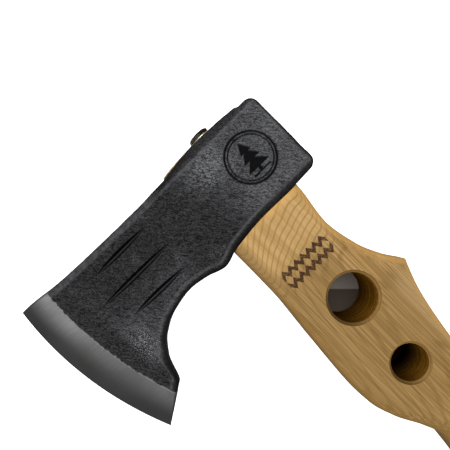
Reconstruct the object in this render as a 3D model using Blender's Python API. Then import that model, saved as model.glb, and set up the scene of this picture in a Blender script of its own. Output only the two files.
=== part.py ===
"""Forestry hatchet lying on its side, ready to be picked up.

The forged head has a square poll, an eye with a raised collar, hollow cheeks with three
claw grooves, a deep beard and a long ground bevel.  The ash handle is a wide slab with
two lightening holes that runs into an oval grip.  Its tenon fills the eye, is spread by a
wooden wedge and is held by a hexagon lag screw and its washer.

World axes: +X along the handle towards the top of the head, +Y towards the cutting edge,
+Z up, across the thickness.  The origin is on the lower cheek, under the middle of the eye.
All lengths below are millimetres; loft() and add_object() turn them into metres.
"""

import math

import bpy
import bmesh

# Driving dimensions, millimetres
HEAD_THICKNESS = 34.0          # across the poll and the eye
POLL_Y = -37.0                 # striking face
POLL_TOP_X = 24.0              # top edge of the head at the poll
POLL_CORNER = 5.0              # corner radius of the poll, seen from the side
RIM_WIDTH = 2.8                # rounding between cheeks and edges, seen from the side
RIM_HEIGHT = 2.4               # the same rounding, across the thickness
TOE = (29.8, 126.9)            # top end of the cutting edge, (x, y)
HEEL = (-68.4, 113.2)          # bottom end of the cutting edge
EDGE_SAGITTA = 6.7             # how far the cutting edge bows past its chord
BEVEL_TOE = 108.9              # y where the bevel starts on the top edge
BEVEL_HEEL = 97.5              # y where the bevel starts on the heel face
BEVEL_SAGITTA = 4.6
BEVEL_HALF_THICKNESS = 3.6     # at the start of the bevel
EDGE_HALF_THICKNESS = 0.2

EYE_CENTRE_Y = 2.0
EYE_HALF_LENGTH = 22.0
EYE_HALF_WIDTH = 10.8
EYE_TAPER = 0.22               # the eye is fuller at the poll than at the blade
COLLAR_HEIGHT = 2.4            # of the raised rim round the top of the eye
GAP = 0.3                      # clearance between neighbouring pieces

TENON_TOP_X = 27.8
HANDLE_THICKNESS = 31.0
KNOB_THICKNESS = 31.0
BUTT_X = -334.0
HOLES = (                      # lightening holes: centre x, centre y, diameter
    (-83.6, -1.9, 25.2),
    (-126.3, 0.7, 19.0),
)
HOLE_CHAMFER = 1.4

KERF_DEPTH = 34.0
KERF_HALF_LENGTH = 18.5
WEDGE_TOP_THICKNESS = 5.0
WEDGE_TIP_THICKNESS = 1.6

SCREW_Y = -5.4
SCREW_DIAMETER = 6.35
SCREW_CORE_DIAMETER = 4.8
SCREW_PITCH = 2.5
SCREW_LENGTH = 52.0
SCREW_PLAIN_SHANK = 12.0
HEX_ACROSS_FLATS = 11.1
HEX_HEIGHT = 2.6
HEX_TURN = 9.5                 # degrees
WASHER_DIAMETER = 13.4
WASHER_THICKNESS = 1.2
WASHER_SINK = 0.7              # counterbore depth in the end grain

GROOVES = (                    # claw grooves in the cheeks: x, start y, end y
    (15.8, 46.5, 83.0),
    (0.6, 42.5, 93.0),
    (-13.4, 46.5, 83.0),
)
GROOVE_HALF_WIDTH = 1.3
GROOVE_DEPTH = 1.3

HALF_HEAD = HEAD_THICKNESS / 2
MM = 0.001

# Outlines, as knots of smooth curves: (position, value)
TOP_EDGE = ((-37.0, 24.0), (20.0, 24.1), (38.0, 24.0), (65.0, 25.1), (97.0, 26.9), (126.9, 29.8))
UNDERSIDE = (
    (-37.0, -23.2), (-20.0, -23.6), (0.0, -23.3), (20.0, -25.0), (32.0, -28.4), (42.0, -25.6),
    (53.0, -24.1), (68.0, -26.5), (80.3, -32.6), (88.2, -42.3), (93.6, -55.4),
)
CHEEK_THICKNESS = (            # half thickness against y
    (-37.0, 17.0), (12.0, 17.0), (24.0, 16.6), (36.0, 15.0), (50.0, 12.0), (66.0, 9.0),
    (86.0, 6.2), (106.0, 3.75),
)
HANDLE_REAR = (
    (-24.0, -22.6), (-48.0, -19.8), (-66.0, -22.9), (-79.0, -28.4), (-88.0, -34.3), (-89.6, -35.1),
    (-91.4, -34.3), (-106.0, -29.1), (-127.0, -24.8), (-150.0, -21.6), (-180.0, -18.0),
    (-215.0, -16.0), (-255.0, -17.0), (-290.0, -20.0), (-315.0, -24.5), (-334.0, -27.0),
)
HANDLE_FRONT = (
    (-24.0, 24.3), (-52.0, 24.5), (-90.0, 27.8), (-117.0, 29.8), (-129.0, 29.1), (-142.0, 25.2),
    (-157.0, 18.2), (-168.0, 15.0), (-178.0, 16.0), (-200.0, 18.8), (-225.0, 17.2),
    (-262.0, 13.6), (-292.0, 14.6), (-316.0, 21.0), (-334.0, 26.0),
)
HANDLE_HALF_THICKNESS = (
    (-24.0, 15.5), (-138.0, 15.5), (-185.0, 13.6), (-255.0, 12.6), (-296.0, 13.8), (-334.0, 15.5),
)


def clear_scene():
    for old in list(bpy.data.objects):
        bpy.data.objects.remove(old, do_unlink=True)


def smooth(knots, at):
    """Value at a position on the smooth curve through the knots (cubic Hermite)."""
    points = sorted(knots)
    if at <= points[0][0]:
        return points[0][1]
    if at >= points[-1][0]:
        return points[-1][1]
    last = len(points) - 1
    i = max(k for k in range(last) if points[k][0] <= at)

    def slope(k):
        if k in (0, last):
            return 0.0 if k == last else (points[1][1] - points[0][1]) / (points[1][0] - points[0][0])
        before = (points[k][1] - points[k - 1][1]) / (points[k][0] - points[k - 1][0])
        after = (points[k + 1][1] - points[k][1]) / (points[k + 1][0] - points[k][0])
        if before * after <= 0:
            return 0.0
        return 2 * before * after / (before + after)

    (x0, y0), (x1, y1) = points[i], points[i + 1]
    span = x1 - x0
    t = (at - x0) / span
    m0, m1 = slope(i) * span, slope(i + 1) * span
    return (
        (2 * t**3 - 3 * t**2 + 1) * y0
        + (t**3 - 2 * t**2 + t) * m0
        + (3 * t**2 - 2 * t**3) * y1
        + (t**3 - t**2) * m1
    )


def lerp(a, b, t):
    return a + (b - a) * t


def spread(start, end, count):
    """Evenly spaced values from start to end, both included."""
    return [lerp(start, end, i / (count - 1)) for i in range(count)]


def section(y0, y1, half_z, radius_y, radius_z, corner_steps, flat_steps):
    """Rounded rectangle in the y-z plane, counted anticlockwise from the middle of the +y side."""
    loop = []
    centre_y = (y0 + y1) / 2
    inner_y = (y1 - y0) / 2 - radius_y
    inner_z = half_z - radius_z
    loop.append((y1, 0.0))
    for quarter in range(4):
        start = quarter * math.pi / 2
        side_y = 1 if quarter in (0, 3) else -1
        side_z = 1 if quarter in (0, 1) else -1
        for step in range(corner_steps + 1):
            angle = start + step / corner_steps * math.pi / 2
            loop.append((
                centre_y + side_y * inner_y + radius_y * math.cos(angle),
                side_z * inner_z + radius_z * math.sin(angle),
            ))
        if quarter in (0, 2):
            for step in range(1, flat_steps):
                loop.append((
                    centre_y + side_y * lerp(inner_y, -inner_y, step / flat_steps),
                    side_z * half_z,
                ))
        elif quarter == 1:
            loop.append((y0, 0.0))
    return loop


def eye_loop(grow, rear, front, count):
    """Teardrop of the eye in the y-z plane, larger by grow; rear and front stretch its two ends."""
    loop = []
    for i in range(count):
        angle = 2 * math.pi * i / count
        length = EYE_HALF_LENGTH + grow + (front if math.cos(angle) > 0 else rear)
        loop.append((
            EYE_CENTRE_Y + length * math.cos(angle),
            (EYE_HALF_WIDTH + grow) * math.sin(angle) * (1 - EYE_TAPER * math.cos(angle)),
        ))
    return loop


def cap_strip(bm, ring):
    """Closes a ring that is a mirror image of itself: its first point is on the mirror line."""
    half = len(ring) // 2
    bm.faces.new((ring[0], ring[1], ring[2], ring[-2], ring[-1]))
    for i in range(2, half - 2):
        bm.faces.new((ring[i], ring[i + 1], ring[-i - 1], ring[-i]))
    bm.faces.new((ring[half - 2], ring[half - 1], ring[half], ring[half + 1], ring[half + 2]))


def loft(loops, name, strip_caps=False):
    """Closed mesh through loops of equal length, with a cap on the first and on the last."""
    bm = bmesh.new()
    rings = [[bm.verts.new([c * MM for c in point]) for point in loop] for loop in loops]
    for ring, following in zip(rings, rings[1:]):
        for i in range(len(ring)):
            j = (i + 1) % len(ring)
            bm.faces.new((ring[i], ring[j], following[j], following[i]))
    for ring in (rings[0], rings[-1]):
        if strip_caps:
            cap_strip(bm, ring)
        else:
            bm.faces.new(ring)
    bmesh.ops.recalc_face_normals(bm, faces=bm.faces)
    mesh = bpy.data.meshes.new(name)
    bm.to_mesh(mesh)
    bm.free()
    return mesh


def turned(profile, sides, name):
    """Solid of revolution about the x axis from (x, radius) points."""
    loops = []
    for x, radius in profile:
        loops.append([
            (x, radius * math.cos(2 * math.pi * k / sides), radius * math.sin(2 * math.pi * k / sides))
            for k in range(sides)
        ])
    return loft(loops, name)


def material(name, colour, roughness, metallic):
    result = bpy.data.materials.new(name)
    result.use_nodes = True
    shader = result.node_tree.nodes["Principled BSDF"]
    shader.inputs["Base Color"].default_value = (*colour, 1.0)
    shader.inputs["Roughness"].default_value = roughness
    shader.inputs["Metallic"].default_value = metallic
    return result


def add_object(name, mesh, surface, location=(0.0, 0.0, HALF_HEAD)):
    """Piece of the hatchet; its mesh is centred on the middle plane."""
    obj = bpy.data.objects.new(name, mesh)
    bpy.context.scene.collection.objects.link(obj)
    obj.location = [c * MM for c in location]
    obj.data.materials.append(surface)
    return obj


def cutter(name, mesh, location=(0.0, 0.0, HALF_HEAD)):
    obj = bpy.data.objects.new(name, mesh)
    bpy.context.scene.collection.objects.link(obj)
    obj.location = [c * MM for c in location]
    obj.hide_render = True
    obj.display_type = "WIRE"
    return obj


def boolean(obj, operation, tool):
    modifier = obj.modifiers.new(tool.name, "BOOLEAN")
    modifier.operation = operation
    modifier.solver = "EXACT"
    modifier.object = tool


def smooth_shading(obj, degrees):
    obj.data.shade_smooth()
    obj.data.set_sharp_from_angle(angle=math.radians(degrees))


def underside(y):
    """x of the lower outline: belly, beard and then the straight heel face."""
    beard_end = UNDERSIDE[-1]
    if y <= beard_end[0]:
        return smooth(UNDERSIDE, y)
    return lerp(beard_end[1], HEEL[0], (y - beard_end[0]) / (HEEL[1] - beard_end[0]))


def head_station(y_top, y_low, sagitta, half_z, inset, rim=1.0):
    """One loop round the head; y bows by the sagitta, and rim scales the rounding of the edges."""
    inset_x, inset_z = inset
    x_top = smooth(TOP_EDGE, y_top) - inset_x
    x_low = underside(y_low) + inset_x
    flat_z = half_z - inset_z
    flat = section(x_low, x_top, flat_z, RIM_WIDTH * rim, min(RIM_HEIGHT * rim, 0.8 * flat_z), 3, 8)
    loop = []
    for x, z in flat:
        s = (x - x_low) / (x_top - x_low)
        bow = sagitta * (1 - (2 * s - 1) ** 2)
        loop.append((x, lerp(y_low, y_top, s) + bow, z))
    return loop


def head_mesh():
    loops = []
    for step in range(4):
        # rounded end of the poll: the loop grows along two quarter arcs
        angle = math.pi / 2 * step / 3
        depth = POLL_CORNER * (1 - math.cos(angle))
        inset_x = POLL_CORNER * (1 - math.sin(angle))
        inset_z = RIM_HEIGHT * (1 - math.sin(angle))
        y = POLL_Y + depth
        loops.append(head_station(y, y, 0.0, HALF_HEAD, (inset_x, inset_z)))
    cheek_start = POLL_Y + POLL_CORNER
    for w in spread(0.0, 1.0, 33)[1:]:
        y_top = lerp(cheek_start, BEVEL_TOE, w)
        y_low = lerp(cheek_start, BEVEL_HEEL, w)
        half_z = smooth(CHEEK_THICKNESS, (y_top + y_low) / 2 + 1.5)
        loops.append(head_station(y_top, y_low, BEVEL_SAGITTA * w**3, half_z, (0.0, 0.0)))
    for w in (0.5, 1.0):
        y_top = lerp(BEVEL_TOE, TOE[1], w)
        y_low = lerp(BEVEL_HEEL, HEEL[1], w)
        half_z = lerp(BEVEL_HALF_THICKNESS, EDGE_HALF_THICKNESS, w)
        sagitta = lerp(BEVEL_SAGITTA, EDGE_SAGITTA, w)
        loops.append(head_station(y_top, y_low, sagitta, half_z, (0.0, 0.0), lerp(1.0, 0.1, w)))
    return loft(loops, "forged_head", strip_caps=True)


def collar_mesh():
    """Raised rim round the top of the eye."""
    top_x = POLL_TOP_X + COLLAR_HEIGHT
    levels = (
        (POLL_TOP_X - 2.0, 4.6, 2.2, 8.5),
        (POLL_TOP_X - 0.2, 4.2, 2.1, 8.0),
        (top_x - 0.6, 2.8, 2.2, 4.0),
        (top_x, 1.8, 2.2, 2.0),
    )
    loops = [[(x, y, z) for y, z in eye_loop(grow, rear, front, 32)] for x, grow, rear, front in levels]
    return loft(loops, "eye_collar")


def cheek_half_thickness(x, y):
    """Half thickness of the cheek at a point of its flat."""
    span = BEVEL_TOE - BEVEL_HEEL
    lean = span * (POLL_TOP_X - x) / (POLL_TOP_X - HEEL[0]) * 0.5
    return smooth(CHEEK_THICKNESS, y + lean)


def groove_mesh(x, start, end, side):
    """Spindle with a triangular section that follows the cheek; side is +1 or -1 in z."""
    loops = []
    for t in spread(0.0, 1.0, 9):
        y = lerp(start, end, t)
        fullness = 0.06 + 0.94 * math.sin(math.pi * t) ** 0.8
        width = GROOVE_HALF_WIDTH * fullness
        surface = cheek_half_thickness(x, y)
        above = surface + 1.2
        flare = width * (1 + 1.2 / GROOVE_DEPTH)
        below = surface - GROOVE_DEPTH * fullness
        loops.append([(x - flare, y, side * above), (x + flare, y, side * above), (x, y, side * below)])
    return loft(loops, "claw_groove")


def build_head(steel):
    head = add_object("forged_head", head_mesh(), steel)
    boolean(head, "UNION", cutter("collar_tool", collar_mesh()))
    eye = [[(x, y, z) for y, z in eye_loop(0.0, 0.0, 0.0, 40)] for x in (-40.0, 40.0)]
    boolean(head, "DIFFERENCE", cutter("eye_tool", loft(eye, "eye_tool")))
    for i, (x, start, end) in enumerate(GROOVES):
        for side in (1, -1):
            name = f"groove_tool_{i + 1}_{'upper' if side > 0 else 'lower'}"
            boolean(head, "DIFFERENCE", cutter(name, groove_mesh(x, start, end, side)))
    smooth_shading(head, 28)
    return head


def handle_station(x):
    """One loop of the slab or the grip at a distance along the handle."""
    y0, y1 = smooth(HANDLE_REAR, x), smooth(HANDLE_FRONT, x)
    half_z = smooth(HANDLE_HALF_THICKNESS, x)
    roundness = min(1.0, max(0.0, (-140.0 - x) / 50.0))
    radius_y = lerp(6.5, 0.42 * (y1 - y0), roundness)
    radius_z = lerp(6.5, 0.92 * half_z, roundness)
    return section(y0, y1, half_z, radius_y, radius_z, 4, 4)


def handle_mesh():
    first = handle_station(-24.0)
    tenon = eye_loop(-GAP, 0.0, 0.0, len(first))
    loops = [[(TENON_TOP_X, y, z) for y, z in tenon]]
    loops.append([(underside(y) - GAP, y, z) for y, z in tenon])
    loops.append([(underside(y) - GAP, y, z) for y, z in first])
    slab = spread(-31.0, -79.0, 9) + [-84.0, -88.0, -90.0, -92.0, -96.0] + spread(-102.0, -180.0, 12)
    grip = spread(-192.0, -330.0, 14)
    for x in slab + grip:
        loops.append([(x, y, z) for y, z in handle_station(x)])
    butt = section(
        smooth(HANDLE_REAR, BUTT_X) + 2.0, smooth(HANDLE_FRONT, BUTT_X) - 2.0, KNOB_THICKNESS / 2 - 2.0,
        20.0, 11.5, 4, 4,
    )
    loops.append([(BUTT_X, y, z) for y, z in butt])
    return loft(loops, "handle", strip_caps=True)


def hole_mesh(diameter):
    """Through hole with a chamfer at both faces, about the z axis."""
    radius = diameter / 2
    face = HANDLE_THICKNESS / 2
    over = 1.0
    profile = (
        (-face - over, radius + HOLE_CHAMFER + over),
        (-face + HOLE_CHAMFER, radius),
        (face - HOLE_CHAMFER, radius),
        (face + over, radius + HOLE_CHAMFER + over),
    )
    loops = []
    for z, r in profile:
        ring = [(r * math.cos(2 * math.pi * k / 36), r * math.sin(2 * math.pi * k / 36), z) for k in range(36)]
        loops.append(ring)
    return loft(loops, "lightening_hole")


def wedge_loops(start, end, grow, top_x, tip_x):
    """Wedge from start to end in y; it tapers in thickness from the top to the tip."""
    loops = []
    for x, thickness in ((top_x, WEDGE_TOP_THICKNESS), (tip_x, WEDGE_TIP_THICKNESS)):
        half_z = thickness / 2 + grow
        loops.append([
            (x, start - grow, -half_z),
            (x, end + grow, -half_z),
            (x, end + grow, half_z),
            (x, start - grow, half_z),
        ])
    return loops


def build_handle(wood):
    handle = add_object("handle", handle_mesh(), wood)
    for i, (x, y, diameter) in enumerate(HOLES):
        tool = cutter(f"hole_tool_{i + 1}", hole_mesh(diameter), (x, y, HALF_HEAD))
        boolean(handle, "DIFFERENCE", tool)
    kerf_start, kerf_end = EYE_CENTRE_Y - KERF_HALF_LENGTH, EYE_CENTRE_Y + KERF_HALF_LENGTH
    kerf_top, kerf_tip = TENON_TOP_X + 0.6, TENON_TOP_X - KERF_DEPTH
    kerf = loft(wedge_loops(kerf_start, kerf_end, GAP, kerf_top, kerf_tip), "kerf_tool")
    boolean(handle, "DIFFERENCE", cutter("kerf_tool", kerf))
    bottom = TENON_TOP_X - WASHER_SINK
    bore = turned(
        (
            (bottom - SCREW_LENGTH - 1.5, SCREW_DIAMETER / 2 + GAP),
            (bottom, SCREW_DIAMETER / 2 + GAP),
            (bottom, WASHER_DIAMETER / 2 + GAP),
            (TENON_TOP_X + 5.0, WASHER_DIAMETER / 2 + GAP),
        ),
        24,
        "bore_tool",
    )
    boolean(handle, "DIFFERENCE", cutter("bore_tool", bore, (0.0, SCREW_Y, HALF_HEAD)))
    smooth_shading(handle, 35)
    return handle


def build_wedges(wood):
    """Wedge in two lengths, parted where the lag screw passes between them."""
    top = TENON_TOP_X - WASHER_SINK - GAP
    tip = TENON_TOP_X - KERF_DEPTH + 3.0
    beside_screw = SCREW_DIAMETER / 2 + GAP
    lengths = {
        "eye_wedge_rear": (EYE_CENTRE_Y - KERF_HALF_LENGTH, SCREW_Y - beside_screw),
        "eye_wedge_front": (SCREW_Y + beside_screw, EYE_CENTRE_Y + KERF_HALF_LENGTH),
    }
    for name, (start, end) in lengths.items():
        add_object(name, loft(wedge_loops(start, end, 0.0, top, tip), name), wood)


def screw_mesh(seat_x):
    """Lag screw: plain shank, coarse thread and a gimlet point, about the x axis."""
    core = SCREW_CORE_DIAMETER / 2
    crest = SCREW_DIAMETER / 2
    profile = [(seat_x + 0.05, crest), (seat_x - SCREW_PLAIN_SHANK, crest)]
    x = seat_x - SCREW_PLAIN_SHANK - 1.0
    tip = seat_x - SCREW_LENGTH
    while x - SCREW_PITCH > tip + 6.0:
        profile.append((x, core))
        profile.append((x - SCREW_PITCH / 2, crest))
        x -= SCREW_PITCH
    profile.append((x, core))
    profile.append((tip, 0.3))
    return turned(profile, 12, "lag_screw")


def hexagon_head_mesh(seat_x):
    """Hexagon with a chamfered crown and a small washer face."""
    corner = HEX_ACROSS_FLATS / math.sqrt(3)
    levels = (
        (seat_x, 0.96), (seat_x + 0.35, 1.0), (seat_x + HEX_HEIGHT - 0.7, 1.0), (seat_x + HEX_HEIGHT, 0.86),
    )
    loops = []
    for x, scale in levels:
        ring = []
        for k in range(6):
            angle = math.radians(90 + HEX_TURN + 60 * k)
            ring.append((x, scale * corner * math.cos(angle), scale * corner * math.sin(angle)))
        loops.append(ring)
    return loft(loops, "hexagon_head")


def build_screw(zinc):
    seat = TENON_TOP_X - WASHER_SINK + GAP + WASHER_THICKNESS + GAP
    axis = (0.0, SCREW_Y, HALF_HEAD)
    screw = add_object("lag_screw", screw_mesh(seat), zinc, axis)
    boolean(screw, "UNION", cutter("hexagon_tool", hexagon_head_mesh(seat), axis))
    smooth_shading(screw, 30)
    return screw


def build_washer(zinc):
    low = TENON_TOP_X - WASHER_SINK + GAP
    high = low + WASHER_THICKNESS
    outer = WASHER_DIAMETER / 2
    axis = (0.0, SCREW_Y, HALF_HEAD)
    disc = turned(((low, outer), (high - 0.25, outer), (high, outer - 0.25)), 28, "screw_washer")
    washer = add_object("screw_washer", disc, zinc, axis)
    inner = SCREW_DIAMETER / 2 + GAP
    bore = turned(((low - 2.0, inner), (high + 2.0, inner)), 20, "washer_bore_tool")
    boolean(washer, "DIFFERENCE", cutter("washer_bore_tool", bore, axis))
    smooth_shading(washer, 30)
    return washer


def main():
    clear_scene()
    steel = material("forged_black_steel", (0.045, 0.046, 0.050), 0.55, 0.7)
    ash = material("oiled_ash", (0.46, 0.30, 0.125), 0.5, 0.0)
    wedge_wood = material("wedge_hardwood", (0.40, 0.25, 0.10), 0.6, 0.0)
    zinc = material("zinc_plated_steel", (0.42, 0.41, 0.38), 0.35, 1.0)
    build_head(steel)
    build_handle(ash)
    build_wedges(wedge_wood)
    build_washer(zinc)
    build_screw(zinc)


main()
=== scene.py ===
"""Looks of the forestry hatchet: fine meshes, procedural materials, floor, light and camera.

Lengths in this script are millimetres in the CAD frame, and MM turns them into metres where a mesh
is made. Meshes count z from the middle plane of the hatchet; materials count it from the floor.
"""

import math

import bmesh
import bpy
import numpy as np
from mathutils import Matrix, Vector, noise


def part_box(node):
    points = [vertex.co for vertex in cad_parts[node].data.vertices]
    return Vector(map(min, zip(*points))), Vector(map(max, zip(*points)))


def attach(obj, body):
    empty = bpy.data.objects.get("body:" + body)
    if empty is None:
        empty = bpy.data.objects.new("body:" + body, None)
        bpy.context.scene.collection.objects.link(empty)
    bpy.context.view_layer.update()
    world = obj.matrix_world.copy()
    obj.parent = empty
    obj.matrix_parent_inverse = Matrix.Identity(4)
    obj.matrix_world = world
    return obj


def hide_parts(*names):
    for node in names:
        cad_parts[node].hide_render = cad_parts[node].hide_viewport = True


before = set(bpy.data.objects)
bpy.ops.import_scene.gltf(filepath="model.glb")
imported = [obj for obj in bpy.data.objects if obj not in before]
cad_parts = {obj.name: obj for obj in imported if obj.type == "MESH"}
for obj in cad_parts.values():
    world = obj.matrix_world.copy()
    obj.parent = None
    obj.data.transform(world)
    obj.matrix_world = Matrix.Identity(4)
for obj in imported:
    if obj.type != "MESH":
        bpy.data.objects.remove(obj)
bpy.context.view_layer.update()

MM = 0.001


def box_corners(node):
    """Lowest and highest corner of a CAD node, in millimetres."""
    return [np.array(corner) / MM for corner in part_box(node)]


HEAD_LOW, HEAD_HIGH = box_corners("forged_head")
HANDLE_LOW, HANDLE_HIGH = box_corners("handle")
WASHER_LOW, WASHER_HIGH = box_corners("screw_washer")
SCREW_TIP_X = box_corners("lag_screw")[0][0]
MIDDLE_Z = (HEAD_LOW[2] + HEAD_HIGH[2]) / 2

# Head, as in the CAD
HALF_HEAD = (HEAD_HIGH[2] - HEAD_LOW[2]) / 2
POLL_Y = HEAD_LOW[1]
POLL_CORNER = 5.0
RIM_WIDTH = 2.8
RIM_HEIGHT = 2.4
TOE = (29.8, 126.9)
HEEL = (-68.4, 113.2)
EDGE_SAGITTA = 6.7
BEVEL_TOE, BEVEL_HEEL, BEVEL_SAGITTA = 108.9, 97.5, 4.6
BEVEL_HALF_THICKNESS, EDGE_HALF_THICKNESS = 3.6, 0.2
EYE_CENTRE_Y, EYE_HALF_LENGTH, EYE_HALF_WIDTH, EYE_TAPER = 2.0, 22.0, 10.8, 0.22
GAP = 0.3                                 # clearance between neighbouring pieces
TOP_EDGE = ((-37.0, 24.0), (20.0, 24.1), (38.0, 24.0), (65.0, 25.1), (97.0, 26.9), TOE[::-1])
UNDERSIDE = (
    (-37.0, -23.2), (-20.0, -23.6), (0.0, -23.3), (20.0, -25.0), (32.0, -28.4), (42.0, -25.6),
    (53.0, -24.1), (68.0, -26.5), (80.3, -32.6), (88.2, -42.3), (93.6, -55.4),
)
CHEEK_THICKNESS = (
    (-37.0, 17.0), (12.0, 17.0), (24.0, 16.6), (36.0, 15.0), (50.0, 12.0), (66.0, 9.0),
    (86.0, 6.2), (106.0, 3.75),
)

# Head, where it is drawn more finely than the CAD or a little differently
BEVEL_CONVEXITY = 0.55
DENT_HEIGHT, PIT_HEIGHT, SKIN_SUNK = 0.14, 0.075, 0.10
BEVEL_RANGE = 20.0                        # reach of the bevel attribute on each side of its line
COLLAR_HEIGHT = 2.6
COLLAR_REAR_Y, COLLAR_CROWN_Y = -22.0, -3.0
COLLAR_ROOM = 0.3                         # how far the collar may stand above the CAD head
GROOVES = ((14.9, 46.5, 83.0), (0.75, 42.5, 93.0), (-13.4, 46.5, 83.0))   # x, start y, end y
GROOVE_HALF_WIDTH, GROOVE_DEPTH = 1.6, 1.4
GROOVE_SLANT = 0.02                       # how far a groove leans in x for each step in y
GROOVE_SWELL, GROOVE_TAPER = 1.05, 0.8    # where a groove is widest, and how blunt its ends are
MARK_X, MARK_Y, MARK_RADIUS, MARK_DEPTH = 1.5, -14.5, 13.0, 0.45
WALL_STEPS, CORNER_STEPS, FLAT_STEPS = 22, 6, 128
POLL_ROWS, POLL_LOOPS, BEVEL_LOOPS = 12, 9, 26

# Handle, as in the CAD apart from the top of the tenon
TENON_LOWERED = 0.5
TENON_TOP_X = HANDLE_HIGH[0] - TENON_LOWERED
SHOULDER_X, SHOULDER_HALF_LENGTH = -24.0, 23.0
BUTT_X, BUTT_ROUNDING = HANDLE_LOW[0], 4.0
HOLES = ((-83.6, -1.9, 25.2), (-126.3, 0.7, 19.0))    # centre x, centre y, diameter
HOLE_CHAMFER = 1.4
HALF_HANDLE = (HANDLE_HIGH[2] - HANDLE_LOW[2]) / 2
HANDLE_STEPS = (10, 12, 30)               # across a wall, round a corner, along a flat
SLAB_CORNER = 6.5
GRIP_FROM_X, GRIP_BLEND = -140.0, 50.0    # where the slab starts to turn into the rounded grip
KERF_HALF_LENGTH, KERF_DEPTH = 18.5, 34.0
WEDGE_TOP_THICKNESS, WEDGE_TIP_THICKNESS = 5.0, 1.6
HANDLE_REAR = (
    (-24.0, -22.6), (-48.0, -19.8), (-66.0, -22.9), (-79.0, -28.4), (-88.0, -34.3), (-89.6, -35.1),
    (-91.4, -34.3), (-106.0, -29.1), (-127.0, -24.8), (-150.0, -21.6), (-180.0, -18.0),
    (-215.0, -16.0), (-255.0, -17.0), (-290.0, -20.0), (-315.0, -24.5), (-334.0, -27.0),
)
HANDLE_FRONT = (
    (-24.0, 24.3), (-52.0, 24.5), (-90.0, 27.8), (-117.0, 29.8), (-129.0, 29.1), (-142.0, 25.2),
    (-157.0, 18.2), (-168.0, 15.0), (-178.0, 16.0), (-200.0, 18.8), (-225.0, 17.2),
    (-262.0, 13.6), (-292.0, 14.6), (-316.0, 21.0), (-334.0, 26.0),
)
HANDLE_HALF_THICKNESS = (
    (-24.0, 15.5), (-138.0, 15.5), (-185.0, 13.6), (-255.0, 12.6), (-296.0, 13.8), (-334.0, 15.5),
)

# Growth rings, counted from the heart of the tree, and the burnt pattern on the slab
HEART_Y, HEART_Z, RINGS_PER_MM = -16.0, -45.0, 0.60
PATTERN_X, PATTERN_Y, PATTERN_ROW_OFFSET = -55.0, 1.8, 3.0
CHEVRONS_PER_MM, CHEVRON_SWING = 0.24, 5.6

# Screw and washer; the hexagon is lower than in the CAD and turned less
SCREW_Y = (WASHER_LOW[1] + WASHER_HIGH[1]) / 2
SCREW_DIAMETER, SCREW_CORE_DIAMETER, SCREW_PITCH = 6.35, 4.8, 2.5
PLAIN_SHANK, SCREW_POINT = 12.0, 6.0
HEX_ACROSS_FLATS, HEX_HEIGHT = 11.1, 2.2
HEX_TURN = 4.0                            # degrees

FLOOR_SIZE, FLOOR_CENTRE = 3000.0, (-150.0, 40.0)
FLOOR_DROP = 0.2                          # the floor lies just clear of the steel
FLOOR_GLOW = 1.0
WORLD_LIGHT = 1.1
KEY_LIGHT_AT, LIT_POINT = (250.0, -250.0, 950.0), (-50.0, 30.0, 20.0)
KEY_LIGHT_SIZE, KEY_LIGHT_POWER = 800.0, 6.0

# Camera: square on to the side of the hatchet, close enough to show the walls of the holes
CAMERA_OVER = (-14.2, 21.7)
CAMERA_HEIGHT = 213.0                     # above the middle plane
CAMERA_TURN = 225.16                      # degrees about z
CAMERA_LENS, SENSOR_WIDTH = 32.0, 36.0
CAMERA_SHIFT = (0.009, 0.0155)
NEAREST_SEEN, FARTHEST_SEEN = 10.0, 20000.0

# Points closer than this are merged and edges shorter than this removed, in metres
MERGE_DISTANCE, SHORTEST_EDGE = 0.00002, 1e-7


# ---------------------------------------------------------------- curves and small helpers

def smooth(knots, at):
    """Values on the smooth curve through the knots (cubic Hermite), for an array of positions."""
    points = sorted(knots)
    xs = np.array([p[0] for p in points])
    ys = np.array([p[1] for p in points])
    at = np.clip(np.asarray(at, float), xs[0], xs[-1])
    rises = np.diff(ys) / np.diff(xs)
    slopes = np.zeros(len(xs))
    slopes[0] = rises[0]
    for k in range(1, len(xs) - 1):
        before, after = rises[k - 1], rises[k]
        if before * after > 0:
            slopes[k] = 2 * before * after / (before + after)
    i = np.clip(np.searchsorted(xs, at, side="right") - 1, 0, len(xs) - 2)
    span = xs[i + 1] - xs[i]
    t = (at - xs[i]) / span
    return (
        (2 * t**3 - 3 * t**2 + 1) * ys[i]
        + (t**3 - 2 * t**2 + t) * slopes[i] * span
        + (3 * t**2 - 2 * t**3) * ys[i + 1]
        + (t**3 - t**2) * slopes[i + 1] * span
    )


def lerp(a, b, t):
    return a + (b - a) * t


def step_between(low, high, value):
    """0 below low, 1 above high, smooth between."""
    t = np.clip((value - low) / (high - low), 0.0, 1.0)
    return t * t * (3 - 2 * t)


def underside(y):
    end_y, end_x = UNDERSIDE[-1]
    heel = lerp(end_x, HEEL[0], (np.asarray(y, float) - end_y) / (HEEL[1] - end_y))
    return np.where(np.asarray(y) <= end_y, smooth(UNDERSIDE, y), heel)


def noise_at(points, scale, seed):
    """Smooth noise of two octaves, about -1 to 1, with features of the scale in millimetres."""
    offset = Vector((seed * 17.3, seed * 5.1, seed * 9.7))
    values = np.zeros(len(points))
    for k in range(2):
        frequency, strength = 2**k / scale, 0.55**k
        values += strength * np.array([noise.noise(Vector(p) * frequency + offset) for p in points])
    return values


def full_turn(count):
    return np.linspace(0, 2 * math.pi, count, endpoint=False)


def teardrop(angle, grow):
    """Points at some angles on the eye's section in the y-z plane, larger by grow."""
    y = EYE_CENTRE_Y + (EYE_HALF_LENGTH + grow) * np.cos(angle)
    z = (EYE_HALF_WIDTH + grow) * np.sin(angle) * (1 - EYE_TAPER * np.cos(angle))
    return np.stack([y, z], axis=1)


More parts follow.
